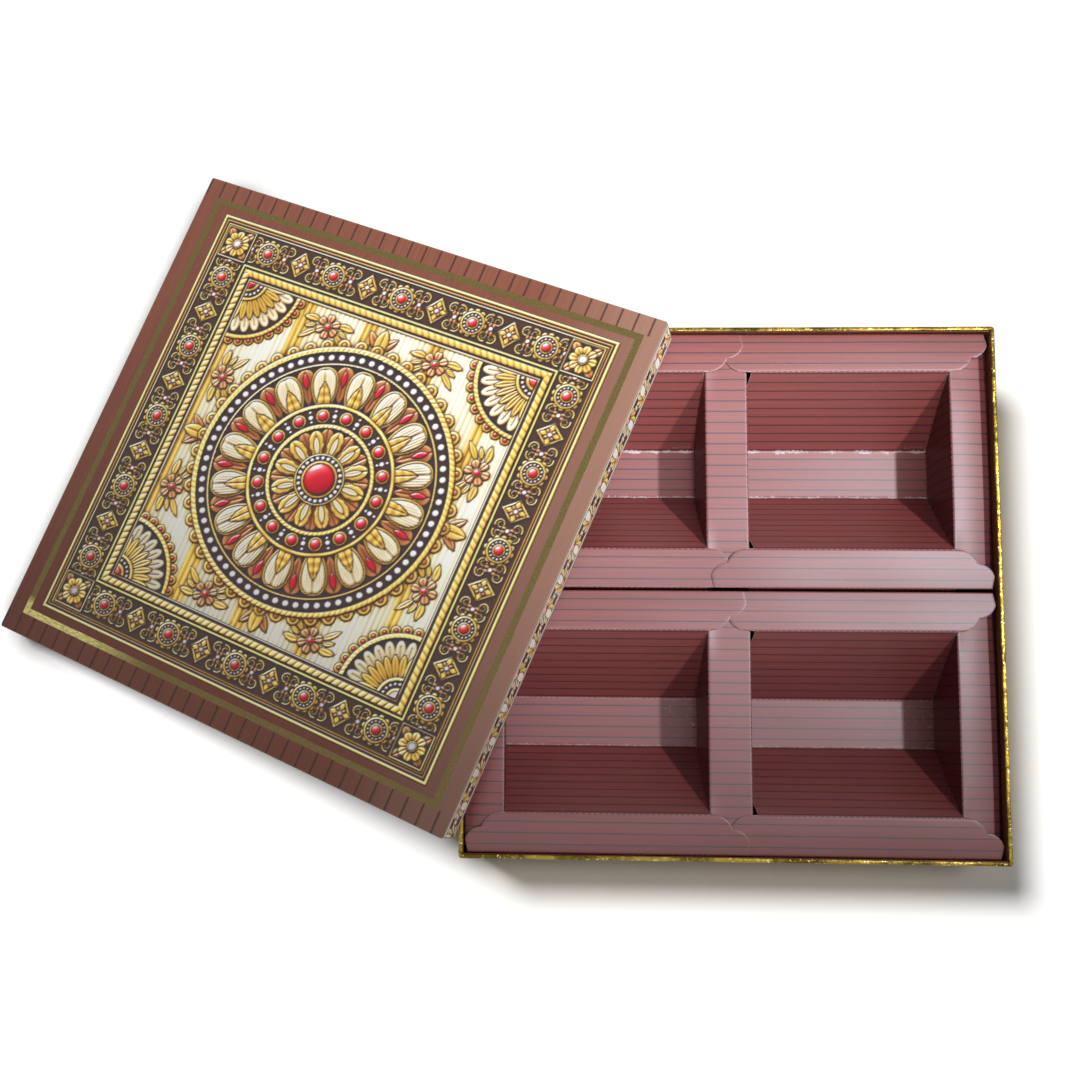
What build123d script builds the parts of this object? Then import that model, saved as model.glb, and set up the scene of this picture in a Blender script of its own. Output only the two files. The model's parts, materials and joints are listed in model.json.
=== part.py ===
from build123d import *
from math import acos, atan2, cos, degrees, hypot, radians, sin
import os

# A rigid gift box for sweets: a deep base, a shallow loose lid and four folded card trays.
# The lid is off and leans on the base, with its left edge on the table.
# Millimetres. X runs right, Y runs to the rear and Z up. The origin is on the table, under the base's centre.

# Base, from the inside out
inner_width = 240.0
inner_depth = 240.0
base_height = 55.0
lining = 0.2
wrap = 0.2
board = 1.4
stay = 0.1
corner_round = 1.2
rim_round = 0.3
stay_reach = 16.0
stay_margin = 2.0
base_turn_in = 15.0
bottom_flap = 18.0
bottom_sheet_margin = 2.5
lining_drop = 1.0

# Lid, closed size
lid_clearance = 0.6
lid_height = 18.0
lid_turn_in = 10.0
lid_lining_margin = 0.4
lid_lean_gap = 0.3

# Lid, as it leans: the plan place of its low front corner, and its turn
lid_corner_left = 346.0
lid_corner_front = 18.1
lid_turn = -23.3

# Trays
card = 0.5
ply_gap = 0.05
ledge_drop = 2.2
side_clear = 0.3
row_gap = 1.2
tray_drop = 37.2
ledge_width = 18.05
floor_width = 22.8
divider_width = 18.5
end_flap_inset = 3.0
wall_gap = 0.3
wall_relief = 1.9
wall_relief_drop = 11.0
end_wall_bow = 0.8
skirt_taper = 4.0
joggle_run = 2.0

# Ogee ends of the long ledges, measured from the middle of the end ledge and from the outer crease
ogee_root = 6.6
ogee_tip = 7.9
ogee_tip_in = 5.8
ogee_cusp = 0.6
ogee_cusp_in = 11.7
ogee_outer_mid = 5.7
ogee_outer_mid_in = 9.6
ogee_inner_mid = 2.6
ogee_inner_mid_in = 16.2
ogee_wall_gap = 0.35

overrun = 1.0


def slab(low_x, high_x, low_y, high_y, low_z, high_z):
    """A block between two corners."""
    block = Box(high_x - low_x, high_y - low_y, high_z - low_z, align=(Align.MIN, Align.MIN, Align.MIN))
    return Pos(low_x, low_y, low_z) * block


def prism(half_x, half_y, radius, low_z, high_z):
    """An upright block on the origin, with round vertical corners where a radius is given."""
    if radius > 0:
        outline = RectangleRounded(2 * half_x, 2 * half_y, radius)
    else:
        outline = Rectangle(2 * half_x, 2 * half_y)
    return Pos(0, 0, low_z) * extrude(outline, high_z - low_z)


def ring(half_x, half_y, radius, wall, low_z, high_z):
    """An upright ring on the origin: its outer half sizes, its outer corner radius and its wall."""
    hole = prism(half_x - wall, half_y - wall, max(radius - wall, 0), low_z, high_z)
    return prism(half_x, half_y, radius, low_z, high_z) - hole


def soften_rim(solid):
    """Round the outer edge of the highest face."""
    top = solid.faces().sort_by(Axis.Z)[-1]
    return fillet(top.outer_wire().edges(), rim_round)


# Half sizes of the base's layers, left to right; the front to rear ones differ by depth_extra
base_lining_half = inner_width / 2
base_turn_half = base_lining_half + lining
base_board_in = base_turn_half + wrap
base_board_out = base_board_in + board
base_wrap_in = base_board_out + stay
base_half = base_wrap_in + wrap
depth_extra = (inner_depth - inner_width) / 2
base_board_low = 2 * wrap
base_floor = base_board_low + board
tray_floor_seat = base_floor + lining


def base_round(half):
    """The corner radius of a layer of the base, concentric with the wrap's."""
    return corner_round - (base_half - half)


def board_walls(board_in, board_out, radius, low_z, high_z):
    """Four greyboard walls: the front and rear ones full width, the side ones glued between them."""
    in_y = board_in + depth_extra
    out_y = board_out + depth_extra
    walls = ring(board_out, out_y, radius, board, low_z, high_z)
    far_x = board_out + overrun
    far_y = out_y + overrun
    return {
        "front_wall": walls & slab(-far_x, far_x, -far_y, -in_y, low_z, high_z),
        "rear_wall": walls & slab(-far_x, far_x, in_y, far_y, low_z, high_z),
        "left_wall": walls & slab(-far_x, 0, -in_y, in_y, low_z, high_z),
        "right_wall": walls & slab(0, far_x, -in_y, in_y, low_z, high_z),
    }


def make_base_boards():
    """The base's greyboard: a floor panel, with the walls standing on it."""
    radius = base_round(base_board_out)
    boards = board_walls(base_board_in, base_board_out, radius, base_floor, base_height - wrap)
    half_y = base_board_out + depth_extra
    boards["floor_board"] = prism(base_board_out, half_y, radius, base_board_low, base_floor)
    return boards


def make_corner_stays(half_x, half_y, radius, low_z, high_z):
    """Four strips of paper tape, one folded round each corner of the board."""
    tape = ring(half_x, half_y, radius, stay, low_z, high_z)
    long_x = prism(half_x - stay_reach, half_y + overrun, 0, low_z - overrun, high_z + overrun)
    long_y = prism(half_x + overrun, half_y - stay_reach, 0, low_z - overrun, high_z + overrun)
    return tape - long_x - long_y


def make_base_wrap():
    """Foil paper over the outside: under the floor, up the walls, over the rim and down inside."""
    half_y = base_half + depth_extra
    low = wrap
    skin = ring(base_half, half_y, corner_round, wrap, low, base_height)
    skin += ring(base_half, half_y, corner_round, bottom_flap, low, low + wrap)
    cap_wall = base_half - base_turn_half
    skin += ring(base_half, half_y, corner_round, cap_wall, base_height - wrap, base_height)
    turn_low = base_height - base_turn_in
    skin += ring(base_board_in, base_board_in + depth_extra, 0, wrap, turn_low, base_height)
    return soften_rim(skin)


def make_base_bottom_sheet():
    """Paper over the underside, on top of the turned flaps."""
    half_x = base_half - bottom_sheet_margin
    return prism(half_x, half_x + depth_extra, 0, 0, wrap)


def make_base_floor_lining():
    """The sheet inside on the floor, with the wall lining round it."""
    half_x = base_lining_half
    return prism(half_x, half_x + depth_extra, 0, base_floor, tray_floor_seat)


def make_base_wall_lining():
    """The strip round the inside of the walls, up to just under the rim."""
    half_x = base_turn_half
    return ring(half_x, half_x + depth_extra, 0, lining, base_floor, base_height - lining_drop)


# Half sizes of the lid's layers; the closed lid slides over the base with a clearance all round
lid_turn_half = base_half + lid_clearance
lid_board_in = lid_turn_half + wrap
lid_board_out = lid_board_in + board
lid_wrap_in = lid_board_out + stay
lid_half = lid_wrap_in + wrap
lid_top_ply = wrap + board + lining


def lid_round(half):
    """The corner radius of a layer of the lid, concentric with the wrap's."""
    return corner_round - (lid_half - half)


def lid_pose():
    """Where the lid leans: left edge on the table, top board on the base's rear left corner."""
    low_corner = Vector(-lid_corner_left, -lid_corner_front, 0)
    across = Vector(cos(radians(lid_turn)), sin(radians(lid_turn)), 0)
    prop = Vector(-base_half, base_half + depth_extra, 0)
    reach = (prop - low_corner).dot(across)
    inner_height = lid_height - lid_top_ply
    lean = acos(inner_height / hypot(reach, base_height)) - atan2(reach, base_height)
    turned = Pos(low_corner.X, low_corner.Y, lid_lean_gap) * Rot(0, 0, lid_turn)
    return turned * Rot(0, -degrees(lean), 0) * Pos(lid_half, lid_half + depth_extra, lid_height)


def make_lid_boards():
    """The lid's greyboard: a top panel, with the walls glued under it."""
    radius = lid_round(lid_board_out)
    top_low = -wrap - board
    boards = board_walls(lid_board_in, lid_board_out, radius, -lid_height + wrap, top_low)
    half_y = lid_board_out + depth_extra
    boards["top_board"] = prism(lid_board_out, half_y, radius, top_low, -wrap)
    return boards


def make_lid_wrap():
    """Printed paper over the lid: the top, down the walls, round the lower edge and up inside."""
    half_y = lid_half + depth_extra
    low = -lid_height
    skin = ring(lid_half, half_y, corner_round, wrap, low, 0)
    skin += prism(lid_half, half_y, corner_round, -wrap, 0)
    cap_wall = lid_half - lid_turn_half
    skin += ring(lid_half, half_y, corner_round, cap_wall, low, low + wrap)
    skin += ring(lid_board_in, lid_board_in + depth_extra, 0, wrap, low, low + lid_turn_in)
    return soften_rim(skin)


def make_lid_lining():
    """The sheet inside the lid's top."""
    half_x = lid_board_in - lid_lining_margin
    top = -wrap - board
    return prism(half_x, half_x + depth_extra, 0, top - lining, top)


# Trays: each is one card blank, scored and folded. Sizes about the tray's own centre, top face at zero
tray_half_y = (inner_depth / 2 - side_clear - row_gap / 2) / 2
inner_crease_y = tray_half_y - ledge_width
tray_centre_y = inner_depth / 2 - side_clear - tray_half_y
end_ledge_width = divider_width / 2 + ogee_tip + ogee_wall_gap
trough_near = divider_width / 2
trough_far = inner_width / 2 - side_clear - end_ledge_width
trough_half = (trough_far - trough_near) / 2
tray_centre_x = (trough_far + trough_near) / 2
ledge_top = base_height - ledge_drop
skirt_length = ledge_top - tray_floor_seat
ply = card + ply_gap
ogee_centre = trough_half + divider_width / 2


def folded(points, thickness):
    """A folded card's section: a line of points, and the same line moved to its right by the thickness."""
    moved = []
    for index, (x, y) in enumerate(points):
        near = points[max(index - 1, 0)]
        far = points[min(index + 1, len(points) - 1)]
        into = Vector(x - near[0], y - near[1]) if index else Vector(far[0] - x, far[1] - y)
        out = Vector(far[0] - x, far[1] - y) if index < len(points) - 1 else into
        into = into.normalized()
        out = out.normalized()
        mitre = (Vector(into.Y, -into.X) + Vector(out.Y, -out.X)).normalized()
        reach = thickness / mitre.dot(Vector(into.Y, -into.X))
        moved.append((x + mitre.X * reach, y + mitre.Y * reach))
    return make_face(Polyline(*points, *reversed(moved), close=True))


def long_section():
    """The section through a tray: skirt, ledge, sloped wall, floor, and the same again."""
    half = [(tray_half_y, 0), (inner_crease_y, 0), (floor_width / 2, -tray_drop)]
    points = [(-y, z) for y, z in half] + [(y, z) for y, z in reversed(half)]
    return folded(points, card)


def make_trough():
    """The floor, the two sloped walls and the two ledges, between the end walls."""
    body = extrude(Plane.YZ * long_section(), trough_half - card - wall_gap, both=True)
    for side in (-1, 1):
        start = (side * (trough_half - wall_relief - card), -card)
        middle = (side * (trough_half - card - wall_gap * 2), -wall_relief_drop / 2)
        finish = (side * (trough_half - card - wall_gap), -wall_relief_drop)
        corner = (side * (trough_half + overrun), -card)
        below = (side * (trough_half + overrun), -wall_relief_drop)
        outline = [ThreePointArc(start, middle, finish), Polyline(finish, below, corner, start)]
        cutter = extrude(Plane.XZ * make_face(outline), inner_crease_y, both=True)
        body -= cutter
    floor_half = floor_width / 2
    body += slab(-trough_half, trough_half, -floor_half, floor_half, -tray_drop - card, -tray_drop)
    return body


def make_skirt(side):
    """A skirt hanging from a long ledge's outer crease, with its lower corners cut off at a slant."""
    reach = trough_half
    low = -skirt_length
    outline = Polyline(
        (-reach, 0),
        (reach, 0),
        (reach - skirt_taper, low),
        (-reach + skirt_taper, low),
        close=True,
    )
    plate = extrude(Plane.XZ * make_face(outline), card)
    if side < 0:
        plate = plate.mirror(Plane.XZ)
    return Pos(0, side * tray_half_y, 0) * plate


def ogee_plan(side_x, side_y):
    """The plan of one ledge end: two round lobes and a cusp between them."""
    def at(reach, inset):
        return (side_x * (ogee_centre + reach), side_y * (tray_half_y - inset))

    root = (side_x * (trough_half - wall_relief), side_y * tray_half_y)
    inner = (side_x * (trough_half - wall_relief), side_y * inner_crease_y)
    crease_end = (side_x * trough_half, side_y * inner_crease_y)
    tip = at(ogee_tip, ogee_tip_in)
    outer_lobe = ThreePointArc(tip, at(ogee_outer_mid, ogee_outer_mid_in), at(ogee_cusp, ogee_cusp_in))
    inner_lobe = ThreePointArc(
        at(ogee_cusp, ogee_cusp_in), at(-ogee_inner_mid, ogee_inner_mid_in), crease_end
    )
    straight = Polyline(crease_end, inner, root, at(ogee_root, 0), tip)
    return make_face([outer_lobe, inner_lobe, straight])


def make_ledge_end(side_x, side_y, under):
    """One ogee end of a long ledge, flat or stepped down by one ply to pass under its neighbour."""
    plan = extrude(ogee_plan(side_x, side_y), -ply - card)
    start = trough_half - wall_relief
    finish = ogee_centre + ogee_tip + overrun
    drop = ply if under else 0
    step_end = ogee_centre - ogee_tip - ply_gap
    step_start = step_end - joggle_run
    line = [(start, 0), (step_start, 0), (step_end, -drop), (finish, -drop)]
    if not under:
        line = [(start, 0), (finish, 0)]
    band = extrude(Plane.XZ * folded(line, card), tray_half_y + overrun, both=True)
    if side_x < 0:
        band = band.mirror(Plane.YZ)
    return plan & band


def make_end(side_x, level, flap_reach, skirted):
    """An end wall that bows at its sides, and the end ledge that folds out from its top."""
    top = -level * ply
    half_low = floor_width / 2
    half_high = inner_crease_y - wall_gap
    rise = tray_drop + top
    mid_half = (half_low + half_high) / 2 - end_wall_bow
    outline = [
        Polyline((half_high, 0), (-half_high, 0)),
        ThreePointArc((-half_high, 0), (-mid_half, -rise / 2), (-half_low, -rise)),
        Polyline((-half_low, -rise), (-half_low, -rise - card), (half_low, -rise - card), (half_low, -rise)),
        ThreePointArc((half_low, -rise), (mid_half, -rise / 2), (half_high, 0)),
    ]
    wall = extrude(Plane.YZ * make_face(outline), card)
    wall = Pos(trough_half - card, 0, top) * wall
    flap_half = tray_half_y - end_flap_inset
    end = wall + slab(trough_half - card, trough_half + flap_reach, -half_high, half_high, top - card, top)
    end += slab(trough_half, trough_half + flap_reach, -flap_half, flap_half, top - card, top)
    if skirted:
        out = trough_half + flap_reach
        low = -skirt_length
        end += slab(out - card, out, -flap_half, flap_half, low, top)
    if side_x < 0:
        end = end.mirror(Plane.YZ)
    return end


def make_tray(divider_side, divider_level, front_under, rear_under):
    """One tray. divider_side tells which end meets the divider, and the two flags which ogees go under."""
    tray = make_trough()
    for side_y, under in ((-1, front_under), (1, rear_under)):
        tray += make_skirt(side_y)
        tray += make_ledge_end(divider_side, side_y, under)
        tray += make_ledge_end(-divider_side, side_y, False)
    flap = divider_width - wall_gap
    tray += make_end(divider_side, divider_level, flap, False)
    tray += make_end(-divider_side, 1, end_ledge_width, True)
    return tray


def tray_place(side_x, side_y):
    """Where a tray stands in the base."""
    return Pos(side_x * tray_centre_x, side_y * tray_centre_y, ledge_top)


def save(name, shape):
    """Write one piece."""
    export_step(shape, f"parts/{name}.step")


def main():
    os.makedirs("parts", exist_ok=True)
    for name, panel in make_base_boards().items():
        save(f"base_{name}", panel)
    low = base_board_low + stay_margin
    high = base_height - wrap - stay_margin
    tape_y = base_wrap_in + depth_extra
    save("base_corner_stays", make_corner_stays(base_wrap_in, tape_y, base_round(base_wrap_in), low, high))
    save("base_wrap", make_base_wrap())
    save("base_bottom_sheet", make_base_bottom_sheet())
    save("base_floor_lining", make_base_floor_lining())
    save("base_wall_lining", make_base_wall_lining())

    pose = lid_pose()
    for name, panel in make_lid_boards().items():
        save(f"lid_{name}", pose * panel)
    tape_y = lid_wrap_in + depth_extra
    low = -lid_height + wrap + stay_margin
    high = -wrap - stay_margin
    stays = make_corner_stays(lid_wrap_in, tape_y, lid_round(lid_wrap_in), low, high)
    save("lid_corner_stays", pose * stays)
    save("lid_wrap", pose * make_lid_wrap())
    save("lid_lining", pose * make_lid_lining())

    save("rear_left_tray", tray_place(-1, 1) * make_tray(1, 2, True, False))
    save("rear_right_tray", tray_place(1, 1) * make_tray(-1, 3, False, True))
    save("front_left_tray", tray_place(-1, -1) * make_tray(1, 2, False, False))
    save("front_right_tray", tray_place(1, -1) * make_tray(-1, 3, True, True))


main()
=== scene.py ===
import json
from math import acos, atan2, cos, hypot, pi, radians, sin

import bpy
import numpy as np
from mathutils import Euler, Matrix, Vector


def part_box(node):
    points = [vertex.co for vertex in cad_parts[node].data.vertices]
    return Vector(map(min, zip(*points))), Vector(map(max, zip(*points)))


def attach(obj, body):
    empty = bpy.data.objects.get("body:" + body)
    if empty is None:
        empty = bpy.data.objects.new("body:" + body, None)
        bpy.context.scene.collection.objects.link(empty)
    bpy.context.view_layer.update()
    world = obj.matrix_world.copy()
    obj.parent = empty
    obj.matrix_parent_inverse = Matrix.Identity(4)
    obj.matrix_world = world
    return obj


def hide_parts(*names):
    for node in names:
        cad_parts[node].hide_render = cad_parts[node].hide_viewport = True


# A rigid gift box for sweets: a deep base with four folded card trays, and a loose lid that leans on it.
# Lengths are in millimetres until a mesh is made. X runs right, Y to the rear and Z up.
MM = 0.001

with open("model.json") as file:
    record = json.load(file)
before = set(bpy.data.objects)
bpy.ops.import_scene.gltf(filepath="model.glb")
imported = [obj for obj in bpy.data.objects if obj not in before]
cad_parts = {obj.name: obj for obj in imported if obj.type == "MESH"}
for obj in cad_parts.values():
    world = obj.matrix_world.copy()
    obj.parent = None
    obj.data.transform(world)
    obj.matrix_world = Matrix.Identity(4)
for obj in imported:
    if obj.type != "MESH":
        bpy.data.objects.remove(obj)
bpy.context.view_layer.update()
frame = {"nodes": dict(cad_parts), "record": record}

# Base and lid
_, base_high = (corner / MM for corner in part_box("base_wrap"))
base_half = base_high.x
base_half_y = base_high.y
base_height = base_high.z
base_wall = 1.9
base_turn_in = 15.0
bottom_flap = 18.0
corner_round = 1.5
rim_rounds = (0.5, 0.45)
foil_ply = 0.2
lid_half = 124.6
lid_height = 18.0
lid_top_ply = 1.8
lid_lean_gap = 0.3
lid_corner = (-346.0, -18.1)
lid_turn = radians(-23.3)

# Trays, as in the construction
card = 0.5
ply = 0.55
tray_low, tray_high = (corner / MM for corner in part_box("rear_right_tray"))
ledge_top = tray_high.z
skirt_length = tray_high.z - tray_low.z
tray_half_y = (tray_high.y - tray_low.y) / 2
tray_centre_y = (tray_high.y + tray_low.y) / 2
ledge_width = 18.05
floor_width = 22.8
tray_drop = 37.2
divider_width = 18.5
end_ledge_width = 17.5
end_flap_inset = 3.0
wall_gap = 0.3
wall_relief = 1.9
wall_relief_drop = 11.0
end_wall_bow = 0.8
wall_belly = 0.8
end_sag = 0.35
end_droop = 2.4
outer_droop = 1.2
inner_droop = 0.5
skirt_taper = 4.0
joggle_run = 90.0
trough_half = (tray_high.x - end_ledge_width - divider_width / 2) / 2
tray_centre_x = trough_half + divider_width / 2
ogee_centre = trough_half + divider_width / 2
inner_crease_y = tray_half_y - ledge_width
# The ogee's points, as (reach from the middle of the end ledge, inset from the outer crease)
ogee_start = (6.6, 0.0)
ogee_tip = (7.9, 5.8)
ogee_outer_mid = (5.7, 9.6)
ogee_cusp = (0.6, 11.7)
ogee_inner_mid = (-2.6, 16.2)

# Looks of the lid
lid_foil_half = (114.95, 113.25)
lid_foil_centre = (0.35, 0.65)
lid_foil_width = 3.2
lid_picture_centre = (0.3, 0.75)
lid_line_pitch = 7.82
lid_line_start = 1.3
paper_lift = 0.03
relief_rise = 0.05
ornament_pitch = 0.4
# Factors that scale the ornament's paint up: painted light for the dim light on the lid's top, with a cooler
# cream, and on its side walls
picture_painted_light = np.array((1.22, 1.26, 1.42))
band_painted_light = np.array((2.0, 2.1, 2.4))

# Looks of the card
line_pitch = 5.05
perforation_pitch = 2.6
crease_softness = 1.5
edge_curl = 0.12
edge_curl_reach = 0.25
fold_mark_inset = 1.3
# Painted shadow of the rim on the end ledges: its width, and its strength on the left and right trays
painted_shadow_strip = 3.8
painted_shadow_strip_depth = {-1: 0.25, 1: 1.0}
card_fields = ("lines", "along", "crease", "edge", "worn", "deep")

# Fineness of the trays' meshes
ledge_spacing = 2.2
end_spacing = 2.4
ledge_columns = 84
end_columns = 60
ogee_lines = 44
outline_points = 160

# Surround and floor, in metres
world_level = 0.1
floor_reach = 6.0
floor_lift = 0.12
fade_start, fade_end = 0.35, 1.2
contact_shadow_reach = 0.02
contact_shadow_level = 0.28
floor_sun_power = 3.7
floor_sun_angle = radians(14)
floor_sun_way = (0.53, -0.43, -1.0)

# Camera, as fitted to the photograph's pixels
picture_side = 1080
focal_length = 1328.132
picture_centre = (443.180, 579.241)
camera_turn = (-6.328, -2.669, -0.330)
camera_place = (-101.92, -63.46, 607.02)
sensor_width = 36.0


def smooth(low, high, value):
    """0 at low and beyond it, 1 at high and beyond it, and a smooth step between them."""
    share = np.clip((value - low) / (high - low), 0, 1)
    return share * share * (3 - 2 * share)


def linear(display):
    """Linear values of 0 to 255 display values."""
    share = np.asarray(display) / 255
    return np.where(share <= 0.04045, share / 12.92, ((share + 0.055) / 1.055) ** 2.4)


class Value:
    """A value that a shader works out. Arithmetic with it adds math nodes to the shader."""

    def __init__(self, shader, socket):
        self.shader = shader
        self.socket = socket

    def __add__(self, other):
        return self.shader.math("ADD", self, other)

    def __sub__(self, other):
        return self.shader.math("SUBTRACT", self, other)

    def __mul__(self, other):
        return self.shader.math("MULTIPLY", self, other)

    def __truediv__(self, other):
        return self.shader.math("DIVIDE", self, other)

    def __abs__(self):
        return self.shader.math("ABSOLUTE", self)


class Shader:
    """A node tree, built with short calls. An input takes a Value, or what its socket holds."""

    def __init__(self, name, group="materials"):
        self.owner = getattr(bpy.data, group).new(name)
        self.owner.use_nodes = True
        self.nodes = self.owner.node_tree.nodes

    def put(self, node, inputs):
        for key, value in inputs:
            if isinstance(value, Value):
                self.owner.node_tree.links.new(value.socket, node.inputs[key])
            else:
                node.inputs[key].default_value = value

    def add(self, kind, inputs, output=0, **settings):
        """Adds a node, and gives one of its outputs."""
        node = self.nodes.new("ShaderNode" + kind)
        for key, value in settings.items():
            setattr(node, key, value)
        self.put(node, inputs.items() if isinstance(inputs, dict) else enumerate(inputs))
        return Value(self, node.outputs[output])

    def math(self, operation, *values, clamp=False):
        return self.add("Math", values, operation=operation, use_clamp=clamp)

    def larger(self, a, b):
        return self.math("MAXIMUM", a, b)

    def step(self, value, low, high):
        """0 to 1 as value goes from low to high, or 1 to 0 where low is over high."""
        inputs = {"Value": value, "From Min": min(low, high), "From Max": max(low, high)}
        if low > high:
            inputs.update({"To Min": 1.0, "To Max": 0.0})
        return self.add("MapRange", inputs, interpolation_type="SMOOTHSTEP")

    def span(self, value, low, high):
        """Spreads the usual values of a noise, round 0.5, over a range."""
        inputs = {"Value": value, "From Min": 0.3, "From Max": 0.7, "To Min": low, "To Max": high}
        return self.add("MapRange", inputs)

    def repeat(self, value, pitch, offset=0.0):
        """Distance from the middle of each pitch, as a share of the pitch."""
        return abs(self.math("FRACT", value / pitch + offset) - 0.5)

    def places(self):
        """Places in the frame, in metres."""
        return self.add("TexCoord", (), "Object")

    def separate(self, vector):
        node = self.add("SeparateXYZ", (vector,)).socket.node
        return [Value(self, output) for output in node.outputs]

    def attribute(self, name, output="Fac"):
        return self.add("Attribute", (), output, attribute_name=name)

    def noise(self, place, scale=1.0, detail=3.0, roughness=0.55):
        """Noise at a place, given as a vector or as its parts."""
        if isinstance(place, tuple):
            place = self.add("CombineXYZ", place)
        inputs = {"Vector": place, "Scale": scale, "Detail": detail, "Roughness": roughness}
        return self.add("TexNoise", inputs, "Fac")

    def mix(self, share, a, b):
        """Mixes two colours, each a Value or three display values."""
        a, b = (side if isinstance(side, Value) else (*linear(side), 1.0) for side in (a, b))
        return self.add("Mix", {"Factor": share, "A": a, "B": b}, "Result", data_type="RGBA")

    def tint(self, colour, *layers):
        """Lays display colours over a colour in turn, each by its own share."""
        for share, tone in layers:
            colour = self.mix(share, colour, tone)
        return colour

    def bump(self, height, distance):
        return self.add("Bump", {"Height": height, "Distance": distance * MM})

    def seen_directly(self):
        """1 for what the camera, a reflection or clear glass shows, and 0 for light on the object."""
        kinds = ("Camera", "Glossy", "Transmission")
        camera, glossy, clear = (self.add("LightPath", (), f"Is {kind} Ray") for kind in kinds)
        return self.larger(self.larger(camera, glossy), clear)

    def surface(self, **inputs):
        """Sets the surface's inputs, named with _ for a space, and gives the material."""
        named = [(key.replace("_", " "), value) for key, value in inputs.items()]
        self.put(self.nodes["Principled BSDF"], named)
        return self.owner


def add_object(name, data):
    thing = bpy.data.objects.new(name, data)
    bpy.context.scene.collection.objects.link(thing)
    return thing


def make_mesh(name, points, faces, body, materials, attributes=None, closed_by=()):
    """A mesh piece from points in millimetres. It rides on a body and stands for the nodes in closed_by."""
    mesh = bpy.data.meshes.new(name)
    mesh.vertices.add(len(points))
    mesh.vertices.foreach_set("co", (np.asarray(points) * MM).astype(np.float32).ravel())
    faces = np.asarray(faces, np.int32)
    mesh.loops.add(faces.size)
    mesh.loops.foreach_set("vertex_index", faces.ravel())
    mesh.polygons.add(len(faces))
    mesh.polygons.foreach_set("loop_start", np.arange(0, faces.size, faces.shape[1], dtype=np.int32))
    mesh.update(calc_edges=True)
    mesh.validate()
    mesh.polygons.foreach_set("use_smooth", np.ones(len(mesh.polygons), bool))
    for key, values in (attributes or {}).items():
        values = np.asarray(values, np.float32)
        kind, part = ("FLOAT_COLOR", "color") if values.ndim == 2 else ("FLOAT", "value")
        mesh.attributes.new(key, kind, "POINT").data.foreach_set(part, values.ravel())
    for material in materials:
        mesh.materials.append(material)
    piece = add_object(name, mesh)
    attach(piece, body)
    if closed_by:
        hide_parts(*closed_by)
    return piece


def grid_faces(rows, columns, start=0):
    """Quads of a grid of points, row by row."""
    corner = start + np.arange((rows - 1) * columns).reshape(rows - 1, columns)[:, :-1].ravel()
    return np.stack([corner, corner + 1, corner + columns + 1, corner + columns], 1)


def ring_faces(rings, count):
    """Quads that join each ring of count points to the next ring, and the last to the first."""
    start = np.arange(rings)[:, None] * count
    above = np.roll(start, -1, 0)
    this = np.arange(count)
    after = (this + 1) % count
    return np.stack([start + this, start + after, above + after, above + this], -1).reshape(-1, 4)


# Trays

def ogee_reach(inset):
    """How far a ledge end reaches past the middle of the end ledge, at an inset from the outer crease."""
    inner_end = (trough_half - ogee_centre, ledge_width)
    points = [ogee_start, ogee_tip]
    points += arc_points(ogee_tip, ogee_outer_mid, ogee_cusp)
    points += arc_points(ogee_cusp, ogee_inner_mid, inner_end)
    reach, at = np.array(points).T
    order = np.maximum.accumulate(at + np.arange(len(at)) * 1e-6)
    return np.interp(inset, order, reach)


def arc_points(start, middle, finish, count=24):
    """Points along the arc through three points."""
    (ax, ay), (bx, by), (cx, cy) = start, middle, finish
    turn = 2 * (ax * (by - cy) + bx * (cy - ay) + cx * (ay - by))
    a, b, c = hypot(ax, ay) ** 2, hypot(bx, by) ** 2, hypot(cx, cy) ** 2
    x = (a * (by - cy) + b * (cy - ay) + c * (ay - by)) / turn
    y = (a * (cx - bx) + b * (ax - cx) + c * (bx - ax)) / turn
    first = atan2(ay - y, ax - x)
    sweep = (atan2(cy - y, cx - x) - first + pi) % (2 * pi) - pi
    radius = hypot(ax - x, ay - y)
    return [
        (x + radius * cos(first + sweep * step / count), y + radius * sin(first + sweep * step / count))
        for step in range(count + 1)
    ]


def line_lengths(points):
    """Distance of each point of a folded line from its start."""
    return np.concatenate([[0], np.cumsum(np.hypot(*np.diff(points, axis=0).T))])


def bent(points, reach, along):
    """Places along a folded line whose creases are rounded, by a mean over a short stretch of the line."""
    points = np.array(points, float)
    steps = np.linspace(-crease_softness / 2, crease_softness / 2, 13)
    spread = np.clip(along[:, None] + steps, 0, reach[-1])
    lost = along[:, None] + steps - spread
    first = (points[1] - points[0]) / reach[1]
    last = (points[-1] - points[-2]) / (reach[-1] - reach[-2])
    places = []
    for axis in (0, 1):
        value = np.interp(spread, reach, points[:, axis])
        value += np.where(lost < 0, lost * first[axis], lost * last[axis])
        places.append(value.mean(1))
    return places


def stations(reach, spacing):
    """Distances along a folded line: even ones, and closer ones at each crease and end."""
    close = np.array([-1.1, -0.7, -0.4, -0.18, -0.02, 0.02, 0.18, 0.4, 0.7, 1.1])
    found = [np.arange(0, reach[-1], spacing)]
    for place in reach:
        found.append(place + close)
    found = np.unique(np.concatenate(found).round(3))
    return found[(found >= 0) & (found <= reach[-1])]


def across(low, high, count):
    """Places across each row, from low to high, closer at both ends."""
    edge = np.array([0, 0.22, 0.5, 1.0, 1.8])
    middle = np.linspace(0, 1, count)[1:-1]
    inner = (low + edge[-1])[:, None] + (high - low - 2 * edge[-1])[:, None] * middle
    return np.concatenate([low[:, None] + edge, inner, high[:, None] - edge[::-1]], 1)


def crease_distance(along, reach):
    """Distance of each row from the nearest crease, the line's ends left out."""
    return np.abs(along[:, None] - reach[1:-1]).min(1)


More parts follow.
